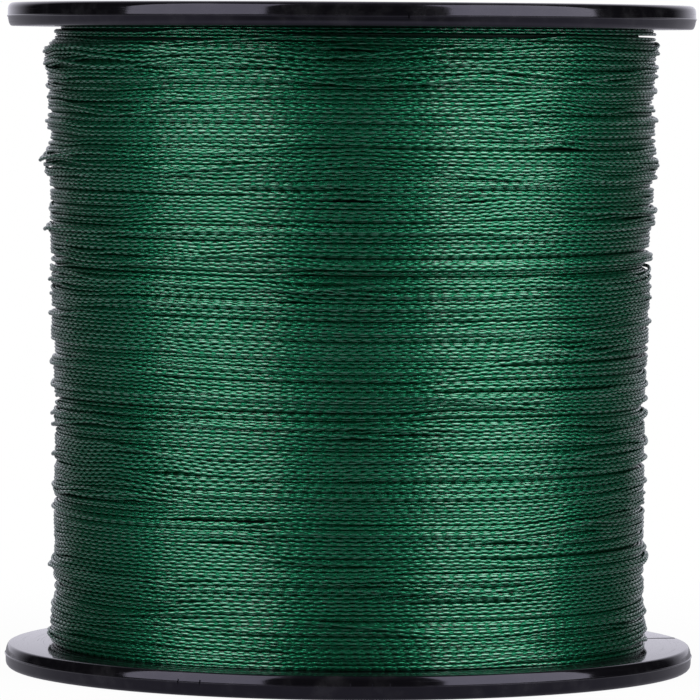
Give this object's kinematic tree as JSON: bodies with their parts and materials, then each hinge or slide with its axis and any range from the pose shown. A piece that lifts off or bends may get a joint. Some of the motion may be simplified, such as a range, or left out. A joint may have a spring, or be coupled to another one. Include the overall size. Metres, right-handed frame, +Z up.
{
  "type": "fishing line spool",
  "caption": "Flanged plastic bulk spool filled with green braided fishing line, with a spindle bore and drive holes through both flanges.",
  "frame": {"origin": "centre of the lower flange's outer face, on the plane that the spool stands on", "axes": "+Z up along the spool's axis from the lower flange to the upper one; +X to the right and +Y away from the viewer"},
  "size_m": [0.072, 0.072, 0.0693],
  "materials": {
    "flange_plastic": "gloss",
    "barrel_plastic": "matte",
    "cloth_tape": "matte",
    "braided_line": "satin",
    "label_paper": "satin"
  },
  "bodies": {
    "root": {"lower_flange": "flange_plastic", "upper_flange": "flange_plastic", "core_barrel": "barrel_plastic", "core_tape": "cloth_tape", "line_pack": "braided_line", "line_end": "braided_line", "lower_label": "label_paper", "upper_label": "label_paper"}
  },
  "joints": []
}
